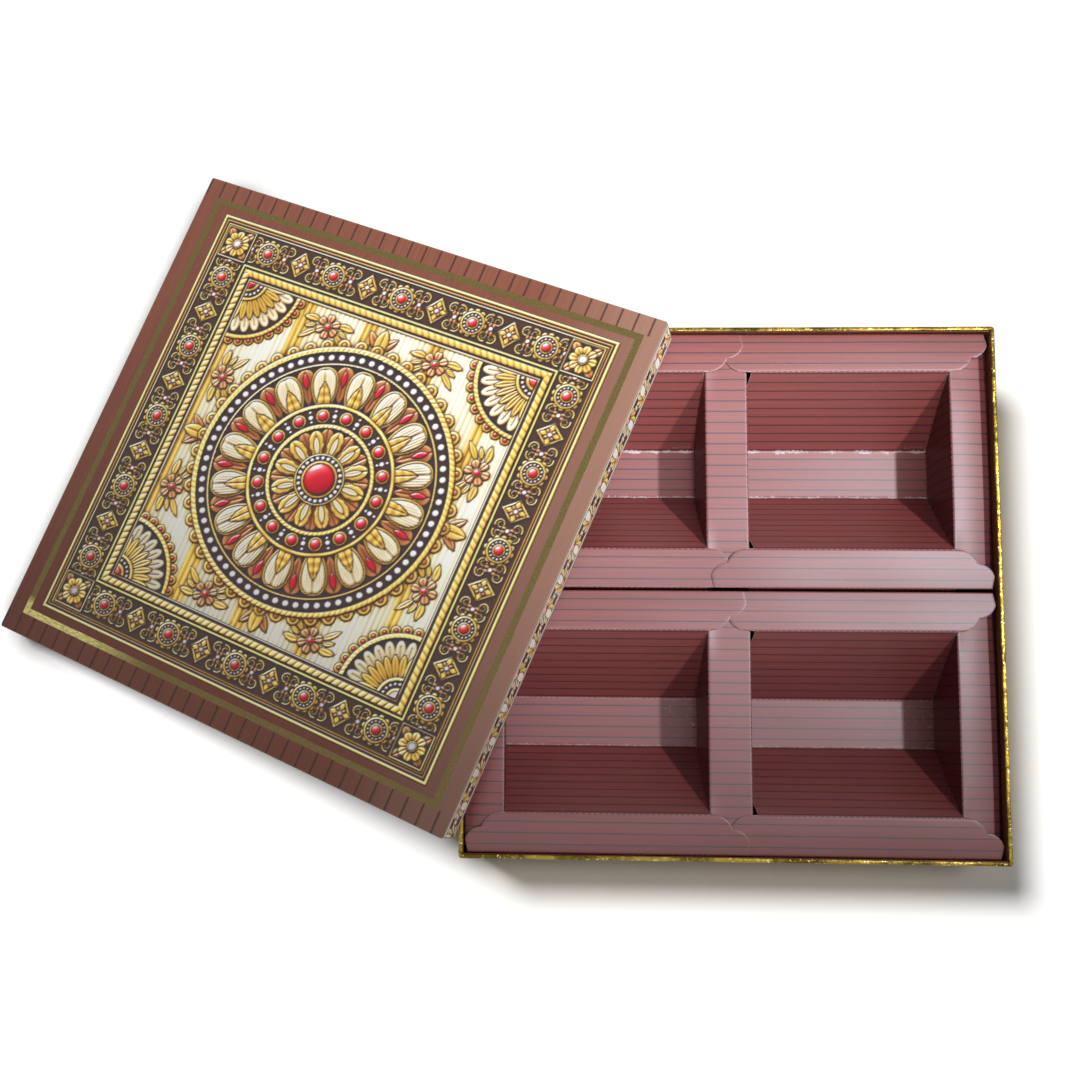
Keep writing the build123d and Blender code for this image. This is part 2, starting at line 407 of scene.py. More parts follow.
def ledge_sheet(side_x, side_y, side_under, wear):
    """The long sheet of a tray: skirt, ledge, slope, floor, and the same again, ogee ends and all."""
    half = [(tray_half_y, -skirt_length), (tray_half_y, 0)]
    half += [(inner_crease_y, 0), (floor_width / 2, -tray_drop)]
    points = [(-y, z) for y, z in half] + [(y, z) for y, z in reversed(half)]
    reach = line_lengths(points)
    ogee_rows = np.linspace(0.3, ledge_width - 0.02, ogee_lines)
    ogee_rows = np.append(ogee_rows, [ogee_tip[1], ogee_cusp[1]])
    along = [stations(reach, ledge_spacing), reach[1] + ogee_rows, reach[-2] - ogee_rows]
    along = np.unique(np.concatenate(along).round(3))
    y, z = bent(points, reach, along)
    out = np.minimum(along, reach[-1] - along)
    skirt_end, ledge_end, slope_end = reach[1:4]
    inset = np.clip(out - skirt_end, 0, ledge_width)
    drop = np.clip((out - ledge_end) * tray_drop / (slope_end - ledge_end), 0, tray_drop)
    relief = (wall_relief - wall_gap) * (1 - smooth(0, wall_relief_drop, drop))
    extents = []
    for side in (-1, 1):
        extent = trough_half - card - wall_gap - (relief if side < 0 < side_x else 0)
        extent = np.where(out < ledge_end, ogee_centre + ogee_reach(inset), extent)
        extent = np.where(out < skirt_end, trough_half - skirt_taper * (1 - out / skirt_end), extent)
        extents.append(np.where(out >= slope_end, trough_half, extent))
    x = across(-extents[0], extents[1], ledge_columns)
    shape = x.shape
    y = np.broadcast_to(y[:, None], shape).copy()
    z = np.broadcast_to(z[:, None], shape).copy()

    beside = smooth(skirt_end - 12, skirt_end, out) * (1 - smooth(ledge_end, slope_end, out))
    step_end = ogee_centre - ogee_tip[0] - 0.05
    for under_x, under_y in side_under:
        fall = ply * smooth(step_end - joggle_run, step_end, under_x * x)
        z -= np.where(under_y * y > 0, fall * beside[:, None], 0)
    droop = np.where(side_y * y > 0, outer_droop, inner_droop)
    z -= droop * ((1 - inset / ledge_width) ** 2 * smooth(0, skirt_end, out))[:, None]

    edge = np.minimum(x + extents[0][:, None], extents[1][:, None] - x)
    outline_inset = np.linspace(0, ledge_width, outline_points)
    outline = np.stack([ogee_centre + ogee_reach(outline_inset), tray_half_y - outline_inset], 1)
    on_ledge = ((out > skirt_end - 1) & (out < ledge_end + 0.5))[:, None]
    near = on_ledge & (np.abs(x) > trough_half - 3)
    places = np.stack([np.abs(x[near]), np.abs(y[near])], 1)
    edge[near] = np.hypot(*(places[:, None] - outline).transpose(2, 0, 1)).min(1)
    z -= np.where(near, edge_curl * np.exp(-edge / edge_curl_reach), 0)
    fields = {
        "lines": np.broadcast_to((along - reach[-1] / 2)[:, None], shape),
        "along": x,
        "crease": np.broadcast_to(crease_distance(along, reach)[:, None], shape),
        "edge": edge,
        "worn": np.where(y > 0, *wear) * smooth(slope_end - 2, slope_end - 1, out)[:, None],
        "deep": np.zeros(shape),
    }
    return x, y, z, fields


def end_sheet(side, side_y, level, flap_reach, skirted):
    """The sheet at one end of a tray: the bowed wall, the end ledge folded out of it, and its skirt."""
    top = -level * ply
    inside = trough_half - card
    points = [(inside, -tray_drop), (inside, top), (trough_half + flap_reach, top)]
    if skirted:
        points.append((trough_half + flap_reach, -skirt_length))
    reach = line_lengths(points)
    along = stations(reach, end_spacing)
    marks = reach.copy()
    if skirted:
        shadow_strip_start = reach[2] - painted_shadow_strip
        along = np.unique(np.append(along, [shadow_strip_start - 0.1, shadow_strip_start + 0.1]).round(3))
        marks[2] -= fold_mark_inset
    x, z = bent(points, reach, along)
    share = np.clip(along / reach[1], 0, 1)
    bow = 4 * share * (1 - share)
    half_high = inner_crease_y - wall_gap
    width = floor_width / 2 + (half_high - floor_width / 2) * share - end_wall_bow * bow
    width = np.where(along > reach[1] + 0.15, tray_half_y - end_flap_inset, width)
    y = -side * across(-width, width, end_columns)
    shape = y.shape
    from_end = along if skirted else np.minimum(along, reach[-1] - along)
    # Painted shade: the end wall below its crease, and a strip of the end ledge beside the rim, which is
    # full on the right trays
    deep = smooth(reach[1] + 0.3, reach[1] - 0.6, along)
    if skirted:
        deep = np.maximum(deep, (along > shadow_strip_start) * painted_shadow_strip_depth[side])
    fields = {
        "lines": y,
        "along": y,
        "crease": np.broadcast_to(crease_distance(along, marks)[:, None], shape),
        "edge": np.minimum(width[:, None] - np.abs(y), from_end[:, None]),
        "worn": np.broadcast_to(0.6 * smooth(reach[1] - 1, reach[1] - 3, along)[:, None], shape),
        "deep": np.broadcast_to(deep[:, None], shape),
    }
    x = side * np.broadcast_to((x - wall_belly * bow)[:, None], shape)
    z = np.broadcast_to(z[:, None], shape).copy()
    ends = smooth(inner_crease_y - 18, inner_crease_y + 2, np.abs(y))
    z -= end_sag * ends * smooth(reach[1], reach[1] + 4, along)[:, None]
    under = np.clip((np.abs(y) - inner_crease_y) / ledge_width, 0, 1) ** 2
    z -= np.where(side_y * y > 0, outer_droop, inner_droop) * under * (along > reach[1])[:, None]
    if skirted:
        past = np.clip((along - reach[1]) / (reach[2] - reach[1]), 0, 1) ** 2
        z -= end_droop * (past * smooth(reach[3], reach[2], along))[:, None]
    return x, y, z, fields


def warp(x, y):
    """How far the card lies from flat, by its place in the box."""
    wave = 0.16 * np.sin(x / 31 + 1.3) * np.cos(y / 23 + 0.4)
    return wave + 0.08 * np.sin(x / 11.3 + y / 17.1) + 0.05 * np.cos(y / 7.7 - x / 19)


def make_tray(name, body, side_x, side_y, divider_level, side_under, wear, materials):
    """One tray of printed card, bent along its creases. Its cut edges show the white core."""
    sheets = [
        ledge_sheet(side_x, side_y, side_under, wear),
        end_sheet(-side_x, side_y, divider_level, divider_width - wall_gap, False),
        end_sheet(side_x, side_y, 1, end_ledge_width, True),
    ]
    points, faces = [], []
    count = 0
    for x, y, z, _ in sheets:
        x, y = x + side_x * tray_centre_x, y + side_y * tray_centre_y
        height = z + ledge_top + warp(x, y) * smooth(-skirt_length + 2, -tray_drop / 2, z)
        points.append(np.stack([x, y, height], -1).reshape(-1, 3))
        faces.append(grid_faces(*x.shape, start=count))
        count += x.size
    fields = {key: np.concatenate([sheet[3][key].ravel() for sheet in sheets]) for key in card_fields}
    faces = np.concatenate(faces)
    piece = make_mesh(name + "_card", np.concatenate(points), faces, body, materials, fields, (name,))
    # Faces wholly in painted shade take the copy of the face material with little sheen
    shaded = fields["deep"][faces].min(1) > 0.9
    piece.data.polygons.foreach_set("material_index", (shaded * 3).astype(np.int32))
    thick = piece.modifiers.new("card", "SOLIDIFY")
    thick.thickness = card * MM
    thick.offset = -1
    thick.material_offset = 2
    thick.material_offset_rim = 1


def card_face(name, sheen):
    """The printed side of the card: pearly red brown with thin lines, white where cut or creased, with
    painted shade on the end walls, beside the rim and towards each ledge's outer edge.
    """
    s = Shader(name)
    lines, along, crease, edge, worn, deep = (s.attribute(field) for field in card_fields)
    streak = s.noise((along * 0.012, lines * 0.7), 1.0, 4)
    fine = s.noise((along * 0.04, lines * 4.0), 1.0, 3)
    fibre = s.noise((along, lines), 2.4, 4, 0.7)
    patch = s.noise((along, lines), 0.03, 2)
    wobble = s.noise((along * 0.5, lines), 1.0, 2)
    ragged = s.noise((along, lines * 1.5), 1.1, 4, 0.75)
    spikes = s.noise((along * 1.3, lines * 0.35), 1.0, 4, 0.7)
    tatter = s.noise((along * 0.13, lines * 0.13), 1.0, 3, 0.7)
    scratch = s.noise((along * 0.09, lines * 0.12), 1.0, 2, 0.4)
    patchy = s.noise((along * 0.05, lines), 1.0, 3, 0.7)

    line = s.step(s.repeat(lines, line_pitch) - s.span(wobble, 0.036, 0.062), 0.022, 0.0)
    near_crease = s.step(crease, 0.3, 0.12)
    cut = s.step(s.repeat(along, perforation_pitch), 0.26, 0.18) * near_crease
    reach = s.span(spikes, -0.5, 1.9) * s.step(tatter, 0.4, 0.6)
    reach = s.larger(reach, s.span(ragged, -0.08, 0.3)) * worn
    cracked = s.step(crease - reach, 0.1, 0.0) * s.step(worn, 0.05, 0.75)
    frayed = s.step(edge + s.span(ragged, -0.12, 0.2), 0.3, 0.05) * (worn * 0.4 + 0.6)
    scuff = s.step(abs(scratch - 0.52), 0.006, 0.002) * s.step(ragged, 0.42, 0.56)
    scuff *= s.step(abs(worn - 0.35), 0.22, 0.18) * s.step(along, 24.0, 36.0)
    colour = s.tint(
        s.mix(s.step(streak, 0.25, 0.75), (134, 65, 61), (148, 77, 73)),
        (s.step(fine, 0.4, 0.75) * 0.3, (160, 90, 86)),
        (s.step(patch, 0.35, 0.7) * 0.3, (136, 66, 70)),
        # Painted shade: the outer part of each ledge is darker and redder, where its sheen falls off
        (s.step(abs(lines), 67.0, 78.0) * 0.35, (116, 52, 46)),
        (line * 0.9, (46, 28, 40)),
        # Painted shade on the end walls and on the strip beside the rim
        (deep * 0.65, (50, 22, 26)),
        (scuff * 0.7, (206, 190, 194)),
        (near_crease * 0.3, (64, 30, 32)),
        (s.larger(frayed, cracked * 0.8), (214, 200, 202)),
        (s.math("MULTIPLY", cut, s.span(patchy, 0.0, 0.75), clamp=True), (206, 180, 182)),
    )
    return s.surface(
        Base_Color=colour,
        Roughness=s.span(fibre, 0.37, 0.43),
        Specular_IOR_Level=sheen,
        Specular_Tint=(0.85, 0.93, 1.0, 1.0),
        Normal=s.bump(fibre * 0.35 + streak * 0.2 - cut * 1.2, 0.05),
    )


def paper(name, grain, low, dark, light, rough, relief, spots=None):
    """Uncoated paper or board. Spots are given as a noise, its range, their share and tone."""
    s = Shader(name)
    fibre = s.noise(s.places(), *grain)
    colour = s.mix(s.step(fibre, low, 0.7), dark, light)
    if spots:
        noise, limits, share, tone = spots
        colour = s.tint(colour, (s.step(s.noise(s.places(), *noise), *limits) * share, tone))
    return s.surface(Base_Color=colour, Roughness=rough, Normal=s.bump(fibre, relief))


def make_trays():
    core = paper("tray_card_core", (2600, 4, 0.7), 0.35, (196, 172, 168), (236, 226, 222), 0.85, 0.08)
    cloud = ((40, 3), (0.4, 0.7), 0.4, (192, 184, 170))
    back = paper("tray_card_back", (900, 5, 0.65), 0.4, (205, 198, 186), (226, 220, 209), 0.8, 0.05, cloud)
    materials = [card_face("tray_card_face", 0.84), core, back]
    # A copy of the face with little sheen, for the faces in painted shade
    materials += [card_face("tray_card_shaded_face", 0.12), core, back]
    make_tray("rear_left_tray", "rear_trays", -1, 1, 2, [(1, -1)], (1.0, 0.75), materials)
    make_tray("rear_right_tray", "rear_trays", 1, 1, 3, [(-1, 1)], (1.0, 0.75), materials)
    make_tray("front_left_tray", "front_trays", -1, -1, 2, [], (0.3, 0.5), materials)
    make_tray("front_right_tray", "front_trays", 1, -1, 3, [(-1, -1), (-1, 1)], (0.2, 0.5), materials)


# The lid's ornament: gilt mouldings, petals, pearls and stones, drawn as distances in millimetres

tones = {
    "gold": [(40, 22, 6), (112, 70, 20), (178, 130, 44), (218, 178, 76), (244, 222, 128), (255, 249, 206)],
    "copper": [(38, 16, 8), (98, 50, 26), (150, 86, 46), (196, 130, 76), (234, 186, 126), (255, 230, 186)],
    "cream": [
        (88, 58, 30), (160, 124, 74), (208, 184, 132), (234, 220, 180), (248, 241, 216), (255, 254, 246),
    ],
    "brown": [(20, 9, 7), (44, 23, 19), (64, 37, 30), (84, 51, 41), (112, 73, 60), (150, 108, 90)],
    "ruby": [(44, 0, 6), (104, 5, 14), (158, 12, 26), (200, 28, 42), (240, 104, 106), (255, 232, 226)],
    "pearl": [
        (78, 64, 62), (144, 130, 128), (196, 186, 184), (228, 222, 220), (247, 244, 242), (255, 255, 255),
    ],
}
tone_names = list(tones)
ink_tone = np.array((34, 16, 9))
far = 1000.0


class Relief:
    """A raised picture on an even grid: heights in millimetres, each place's tones, and dark outlines."""

    def __init__(self, half_x, half_y, pitch):
        self.pitch = pitch
        lines = [np.linspace(-half, half, int(round(2 * half / pitch)) + 1) for half in (half_x, half_y)]
        self.x, self.y = np.meshgrid(*lines)
        self.height, self.ink, self.lift = (np.zeros_like(self.x) for _ in range(3))
        self.tone = np.zeros(self.x.shape, int)

    def lay(self, distance, tone, base, rise=0.0, width=1.0, line=0.28, lift=0.0, detail=0.0):
        """A form where the distance to its edge is below 0, rounded up from base by rise over a width."""
        inside = distance < 0
        shoulder = np.sqrt(1 - (1 - np.clip(-distance / width, 0, 1)) ** 2)
        self.height = np.where(inside, base + rise * shoulder + detail, self.height)
        self.tone = np.where(inside, tone_names.index(tone), self.tone)
        self.lift = np.where(inside, lift, self.lift)
        self.ink = np.where(inside, 0, self.ink)
        if line:
            self.ink = np.maximum(self.ink, np.exp(-((distance / line) ** 2)))

    def mean(self, reach):
        """The heights, averaged over a square, twice."""
        values = self.height
        count = max(int(round(reach / self.pitch / 2)), 1)
        size = 2 * count + 1
        for axis in (0, 1, 0, 1):
            pad = [(0, 0), (0, 0)]
            pad[axis] = (count + 1, count)
            total = np.cumsum(np.pad(values, pad, "edge"), axis)
            total = np.moveaxis(total, axis, 0)
            values = np.moveaxis((total[size:] - total[:-size]) / size, 0, axis)
        return values

    def colours(self, light=(-0.5, 0.6, 0.62)):
        """Display colours, shaded as in a print: lit from the upper left, darker in the hollows."""
        light = np.array(light) / np.linalg.norm(light)
        slope_y, slope_x = np.gradient(self.height, self.pitch)
        normal = np.stack([-0.85 * slope_x, -0.85 * slope_y, np.ones_like(slope_x)], -1)
        normal /= np.linalg.norm(normal, axis=-1, keepdims=True)
        lit = normal @ light
        halfway = light + (0, 0, 1)
        shine = np.clip(normal @ (halfway / np.linalg.norm(halfway)), 0, 1) ** 60
        hollow = np.clip(self.mean(2.4) - self.height, -0.6, 0.9)
        broad = np.clip(self.mean(7) - self.height, -0.5, 1.2)
        shade = np.zeros_like(self.height)
        for step in range(1, 7):
            move = [-int(round(1.3 * step * part)) for part in light[1::-1]]
            rise = np.roll(self.height, move, (0, 1)) - self.height
            shade = np.maximum(shade, rise - 0.75 * step * self.pitch)
        tone = 0.46 + 1.05 * (lit - light[2]) - 0.42 * hollow - 0.16 * broad - 0.22 * smooth(0, 0.8, shade)
        tone = np.clip(tone + self.lift + 0.5 * shine * (lit > light[2] + 0.05), 0, 1)
        colour = np.zeros(self.height.shape + (3,))
        for index, name in enumerate(tone_names):
            here = self.tone == index
            stops = np.array(tones[name], float)
            places = np.linspace(0, 1, len(stops))
            for channel in range(3):
                colour[here, channel] = np.interp(tone[here], places, stops[:, channel])
        ink = 0.78 * np.clip(self.ink, 0, 1)[..., None]
        return colour * (1 - ink) + ink_tone * ink


def petal(x, y, start, finish, width, rise=0.9, fall=0.6):
    """Distance to a petal along X, and the share of its length at each place."""
    share = np.clip((x - start) / (finish - start), 1e-4, 1 - 1e-4)
    peak = rise / (rise + fall)
    half = width * (share / peak) ** rise * ((1 - share) / (1 - peak)) ** fall
    slope = np.minimum(np.abs(half * (rise / share - fall / (1 - share))) / (finish - start), 3)
    distance = (np.abs(y) - half) / np.sqrt(1 + slope**2)
    return np.maximum(distance, np.maximum(start - x, x - finish)), share


def sector(radius, angle, count, offset=0.0):
    """Places folded into one of count equal sectors, with X outwards. offset turns by a share of one."""
    step = 2 * pi / count
    turned = (angle + offset * step + step / 2) % step - step / 2
    return radius * np.cos(turned), radius * np.sin(turned)


def spiral(x, y, start, growth, turns, thick, thin):
    """Distance to a tapered spiral that winds in from a radius, shrinking by growth in each turn."""
    radius = np.hypot(x, y) + 1e-6
    angle = np.arctan2(y, x)
    rate = np.log(growth) / (2 * pi)
    wind = (np.log(radius / start) / rate + angle) / (2 * pi)
    best = np.full(radius.shape, far)
    for lap in (np.floor(wind), np.ceil(wind)):
        at = np.clip(2 * pi * lap - angle, -0.4, 2 * pi * turns)
        on = start * np.exp(at * rate)
        width = thick + (thin - thick) * at / (2 * pi * turns)
        best = np.minimum(best, np.hypot(x - on * np.cos(at), y + on * np.sin(at)) - width)
    return best


def rope(along, across, width, pitch):
    """Heights of a twisted rope's strands, from 0 to 1."""
    turn = (along / pitch + 0.55 * across / width) % 1 - 0.5
    return np.sqrt(np.clip(1 - (2 * turn) ** 2, 0, 1))


def groove(y, width=0.4, depth=0.4):
    return -depth * np.exp(-((y / width) ** 2))


def pin_stripe(x):
    return 0.12 * np.abs(np.sin(pi * x / 1.5)) ** 0.5


class Round:
    """Forms laid round one centre of a picture. Nothing is laid where mask is far instead of 0."""

    def __init__(self, art, x, y, mask=0.0):
        self.art = art
        self.mask = mask
        self.radius, self.angle = np.hypot(x, y), np.arctan2(y, x)

    def disc(self, size, *form, **look):
        self.art.lay(self.radius - size + self.mask, *form, **look)

    def beads(self, count, turned, place, size, *form, **look):
        """A ring of count beads, turned by a share of their step."""
        x, y = sector(self.radius, self.angle, count, turned)
        self.art.lay(np.hypot(x - place, y) - size + self.mask, *form, **look)

    def leaf(self, count, turned, *shape):
        """Distance to a ring of petals, the share of their length, and the distance from their middles."""
        x, y = sector(self.radius, self.angle, count, turned)
        distance, share = petal(x, y, *shape)
        return distance + self.mask, share, y

    def petals(self, count, turned, shape, *form, vein=(0.4, 0.4)):
        """A ring of petals, each with a groove of vein's width and depth along it."""
        leaf, _, y = self.leaf(count, turned, *shape)
        self.art.lay(leaf, *form, detail=groove(y, *vein))

    def cord(self, middle, width, pitch, depth, size, *form):
        """A disc whose border is a twisted rope."""
        strands = depth * rope(middle * self.angle, self.radius - middle, width, pitch)
        self.disc(size, *form, detail=strands)

    def stone(self, size, tone, base):
        """A round stone in a gilt ring."""
        self.disc(size * 1.4, "gold", base, 0.7, size * 0.35)
        self.disc(size, tone, base + 0.2, size * 0.55, size, line=0.2)


def band_units(art, out, along, unit, count, off):
    """A running band: round jewels and lozenges in turn, with scrolls and pearls between them."""
    place = np.clip(np.round(along / unit), -(count // 2), count // 2)
    near = along - place * unit
    scroll = np.abs(near)
    for side in (-1, 1):
        curl = spiral(side * out - 4.2, scroll - 7.4, 2.5, 0.45, 1.3, 0.55, 0.28)
        art.lay(curl + off, "gold", 0.35, 0.7, 0.6)
        art.lay(petal(side * out, scroll - 8.6, 0.4, 3.2, 0.9)[0] + off, "copper", 0.4, 0.5, 0.8)
    art.lay(np.hypot(out, unit / 2 - scroll) - 1.2 + off, "pearl", 0.4, 1.0, 1.2)
    jewel = Round(art, out, near, np.where(place % 2 == 0, off, far))
    jewel.beads(12, 0, 6.0, 1.5, "gold", 0.4, 0.9, 1.4)
    jewel.disc(6.1, "gold", 0.7, 0.8, 1.2)
    jewel.disc(4.8, "brown", 0.9)
    jewel.beads(14, 0, 4.0, 0.62, "pearl", 1.0, 0.7, 0.6, line=0.15)
    jewel.stone(2.3, "ruby", 1.1)
    lozenge = Round(art, out, near, np.where(place % 2 == 1, off, far))
    edge = (np.abs(out) / 7.2 + np.abs(near) / 6.0 - 1) * 4.6
    art.lay(edge + lozenge.mask, "gold", 0.5, 0.9, 0.9)
    art.lay(edge + 1.2 + lozenge.mask, "brown", 0.6)
    lozenge.petals(4, 0, (0.8, 5.2, 1.4, 0.8, 0.9), "gold", 0.8, 0.7, 1.0, vein=(1, 0))
    lozenge.petals(4, 0.5, (0.8, 3.4, 1.0, 0.8, 0.9), "copper", 0.8, 0.7, 1.0, vein=(1, 0))
    lozenge.disc(1.2, "pearl", 1.2, 0.9, 1.2)


def mouldings(art, square, side):
    """The square gilt frames round the picture and round its field."""
    profiles = [(108.0, 106.2, "gold", 1.0), (105.9, 104.7, "copper", 0.5), (104.3, 103.5, "gold", 0.6)]
    profiles += [(86.6, 85.2, "gold", 0.9), (80.3, 79.1, "cream", 0.5)]
    for outer, inner, tone, rise in profiles:
        middle, half = (outer + inner) / 2, (outer - inner) / 2
        art.lay(np.abs(square - middle) - half, tone, 0.5, rise, half)
    strands = 0.75 * rope(side, square - 82.8, 3.6, 3.45)
    art.lay(np.abs(square - 82.8) - 1.8, "gold", 0.5, 0.7, 1.6, detail=strands)


def corner_blocks(art, off):
    """A flower in a gilt square at each corner of the border."""
    x, y = np.abs(art.x) - 94.9, np.abs(art.y) - 94.9
    art.lay(np.abs(np.maximum(np.abs(x), np.abs(y)) - 7.9) - 0.5 + off, "gold", 0.5, 0.8, 0.5)
    flower = Round(art, x, y, off)
    flower.petals(4, 0.5, (3, 9.8, 2.2, 1.0, 0.7), "copper", 0.6, 0.8, 1.4)
    flower.petals(8, 0, (1.5, 6.9, 2.1, 1.0, 0.55), "gold", 0.9, 0.9, 1.2)
    flower.stone(1.9, "pearl", 1.5)


def corner_fans(art, off):
    """A quarter of a lotus in each corner of the field."""
    fan = Round(art, 79.2 - np.abs(art.x), 79.2 - np.abs(art.y), off)
    fan.beads(36, 0.5, 31.2, 2.6, "gold", 0.5, 0.7, 1.2)
    fan.beads(36, 0.5, 31.4, 1.1, "ruby", 0.9, 0.7, 1.1)
    fan.cord(29.2, 2.4, 2.3, 0.35, 30.4, "gold", 0.9, 0.9, 1.3)
    fan.disc(28.0, "brown", 0.5, detail=pin_stripe(art.x))
    leaf, share, y = fan.leaf(28, 0.5, 9, 27, 2.75, 0.9, 0.45)
    art.lay(leaf, "cream", 0.6, 0.9, 1.5, detail=groove(y, 0.35) * (share < 0.85))
    fan.petals(28, 0, (8, 20.5, 1.9), "gold", 1.0, 0.8, 1.0, vein=(0.3, 0.3))
    fan.disc(10.4, "gold", 1.4, 0.8, 1.0)
    fan.disc(8.6, "brown", 1.2)
    fan.beads(20, 0.5, 7.2, 0.85, "pearl", 1.3, 0.8, 0.85, line=0.2)
    fan.stone(4.0, "ruby", 1.4)


def field_flowers(art, square, side, off):
    """Sprays of flowers and leaves on the field, and a palmette at the middle of each side."""
    x, y = square - 70.4, np.abs(side) - 29.5
    leaves = ((0.42, 5.2, 15.5, 1.9), (-0.42, 5.2, 13.5, 1.8), (0.0, 6.0, 12.0, 1.4))
    for turned, start, finish, width in leaves:
        for way in (-1, 1):
            px = way * y * np.cos(turned) - x * np.sin(turned)
            py = x * np.cos(turned) + way * y * np.sin(turned) + 0.02 * (way * y) ** 2
            leaf = petal(px, py, start, finish, width, 0.8, 0.8)[0]
            art.lay(leaf + off, "gold", 0.45, 0.7, 1.0, detail=groove(py, 0.25, 0.35))
    flower = Round(art, x, y, off)
    flower.petals(6, 0, (1.0, 6.4, 2.1, 1.0, 0.5), "copper", 0.8, 0.9, 1.3, vein=(0.3, 0.4))
    flower.stone(1.6, "ruby", 1.2)
    for way in (-1, 1):
        px = (square - 67) * 0.75 + way * side * 0.66
        py = side * 0.75 - way * (square - 67) * 0.66
        leaf = petal(px, py, 0, 11.5, 2.3, 0.7, 0.8)[0] + off
        art.lay(leaf, "copper", 0.5, 0.8, 1.2, detail=groove(py, 0.3))
    palmette = petal(square, side, 66, 78.2, 3.6, 0.5, 0.7)[0] + off
    art.lay(palmette, "gold", 0.7, 0.9, 1.6, detail=groove(side))


def rosette(art):
    """The round centre: rings of rope, pearls, lotus petals and stones round a large stone."""
    ring = Round(art, art.x, art.y)
    ring.beads(48, 0, 66.4, 3.5, "gold", 0.8, 0.8, 1.4)
    ring.beads(48, 0, 66.9, 1.4, "copper", 1.1, 0.7, 1.3)
    ring.cord(64.9, 2.6, 2 * pi * 64.9 / 152, 0.45, 66.2, "gold", 1.2, 1.0, 1.5)
    ring.disc(63.3, "brown", 0.9)
    ring.beads(72, 0, 60.4, 1.75, "pearl", 1.0, 1.3, 1.75)
    ring.disc(57.8, "gold", 1.3, 0.8, 0.8)
    ring.disc(56.6, "brown", 0.7, detail=0.1 * np.abs(np.sin(80 * ring.angle)))
    ring.petals(16, 0.5, (36, 56.2, 4.9, 1.2, 0.5), "copper", 0.9, 0.8, 1.2, vein=(0.5, 0.3))
    ring.petals(16, 0.5, (45.6, 54.4, 1.7, 0.9, 0.9), "ruby", 1.2, 0.9, 1.2, vein=(1, 0))
    leaf, share, y = ring.leaf(16, 0, 32, 56.0, 7.2, 0.75, 0.42)
    veins = 0.34 * np.abs(np.sin(pi * np.abs(y) / 1.25 - 2.2 * share)) ** 0.7
    art.lay(leaf, "gold", 1.2, 0.8, 0.9)
    art.lay(leaf + 1.2, "cream", 1.3, 1.1, 2.2, detail=veins + groove(y, 0.45, 0.6))
    leaf, share, y = ring.leaf(16, 0, 31, 48.5, 3.4, 0.6, 0.8)
    art.lay(leaf, "gold", 1.9, 0.8, 1.2, detail=groove(y, 0.35) + 0.12 * np.cos(26 * share))
    ring.disc(37.4, "gold", 2.0, 0.9, 1.2)
    ring.disc(35.4, "brown", 1.8, detail=0.12 * np.abs(np.sin(64 * ring.angle)))
    x, y = sector(ring.radius, ring.angle, 16)
    Round(art, x - 31.2, y).stone(2.6, "ruby", 2.0)
    for place, size in ((28.9, 0.8), (31.2, 1.3), (33.9, 0.8)):
        ring.beads(16, 0.5, place, size, "pearl", 2.1, 0.9, size, line=0.2)
    ring.cord(26.3, 2.0, 2 * pi * 26.3 / 72, 0.4, 27.4, "gold", 2.3, 0.9, 1.0)
    ring.disc(25.2, "brown", 2.0, detail=pin_stripe(art.x))
    ring.petals(12, 0.5, (9, 25, 3.6, 1.0, 0.45), "copper", 2.2, 0.8, 1.3)
    leaf, share, y = ring.leaf(12, 0, 8, 24.6, 4.1, 0.9, 0.5)
    lobes = 0.4 * np.cos(8 * pi * share) * (1 - share)
    art.lay(leaf + 0.2 - lobes, "gold", 2.6, 0.9, 1.4, detail=groove(y, 0.4, 0.5))
    ring.petals(12, 0, (11, 21.5, 1.5, 0.9, 0.7), "cream", 3.2, 0.5, 1.0, vein=(0.25, 0.3))
    ring.disc(12.8, "gold", 3.3, 0.7, 1.0)
    ring.disc(11.7, "brown", 3.1)
    ring.beads(24, 0, 10.5, 1.1, "pearl", 3.2, 0.9, 1.1, line=0.2)
    ring.disc(9.3, "gold", 3.4, 0.8, 1.0)
    ring.disc(7.9, "ruby", 3.5, 2.4, 7.9)


def draw_picture(pitch):
    """The lid's square picture."""
    art = Relief(108.3, 108.3, pitch)
    size_x, size_y = np.abs(art.x), np.abs(art.y)
    square = np.maximum(size_x, size_y)
    side = np.where(size_x > size_y, art.y, art.x)
    art.lay(square - far, "brown", 0.1, detail=pin_stripe(art.x), line=0)
    corner = np.minimum(size_x, size_y)
    band_units(art, square - 94.9, side, 172 / 9, 9, np.where((square > 86) & (corner < 86), 0, far))
    ribs = 0.34 * np.abs(np.sin(pi * art.x / 2.6)) ** 0.6
    shade = 0.22 + 0.05 * np.sin(1.7 * art.x) + 0.08 * np.sin(art.x / 5.3)
    art.lay(square - 80, "cream", 0.1, detail=ribs, line=0, lift=shade)
    gilt = (np.sin(art.x / 5.3) + 0.6 * np.sin(art.x / 2.9 + 1.1) < -0.85) & (square < 80)
    art.tone[gilt] = tone_names.index("gold")
    mouldings(art, square, side)
    corner_blocks(art, np.where(corner > 86, 0, far))
    in_field = np.where(square < 79, 0, far)
    corner_fans(art, in_field)
    field_flowers(art, square, side, in_field)
    rosette(art)
    return art


